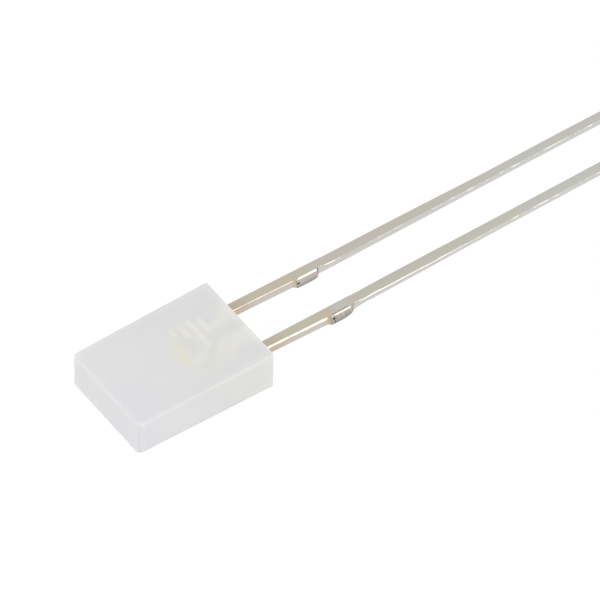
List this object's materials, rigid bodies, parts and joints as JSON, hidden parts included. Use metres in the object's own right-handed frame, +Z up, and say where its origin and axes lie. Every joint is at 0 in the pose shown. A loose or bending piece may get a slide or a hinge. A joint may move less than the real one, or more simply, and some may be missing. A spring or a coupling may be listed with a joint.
{
  "type": "rectangular led",
  "caption": "Rectangular through-hole LED: milky white drafted epoxy block around a chip in a reflector cup, with straight tinned leads and small stand-off tabs.",
  "frame": {"origin": "centre of the block's base face, where the leads leave it: midway between the two leads and midway through the block's thickness", "axes": "+X along the leads and away from the block, +Y towards the cathode lead, +Z up through a wide face; the part lies on its other wide face"},
  "size_m": [0.0338, 0.005, 0.002],
  "materials": {
    "milky_epoxy": "milky white diffusing cast epoxy, satin",
    "tinned_steel": "tin over copper and steel, satin, warmer near the block",
    "chip": "polished",
    "chip_adhesive": "cured clear resin",
    "phosphor_resin": "yellow converter powder in clear resin",
    "bond_gold": "bright gold"
  },
  "bodies": {
    "root": {"epoxy_body": "milky_epoxy", "cathode_lead": "tinned_steel", "anode_lead": "tinned_steel", "led_die": "chip", "die_attach": "chip_adhesive", "phosphor_fill": "phosphor_resin", "anode_bond_wire": "bond_gold", "cathode_bond_wire": "bond_gold"}
  },
  "joints": []
}
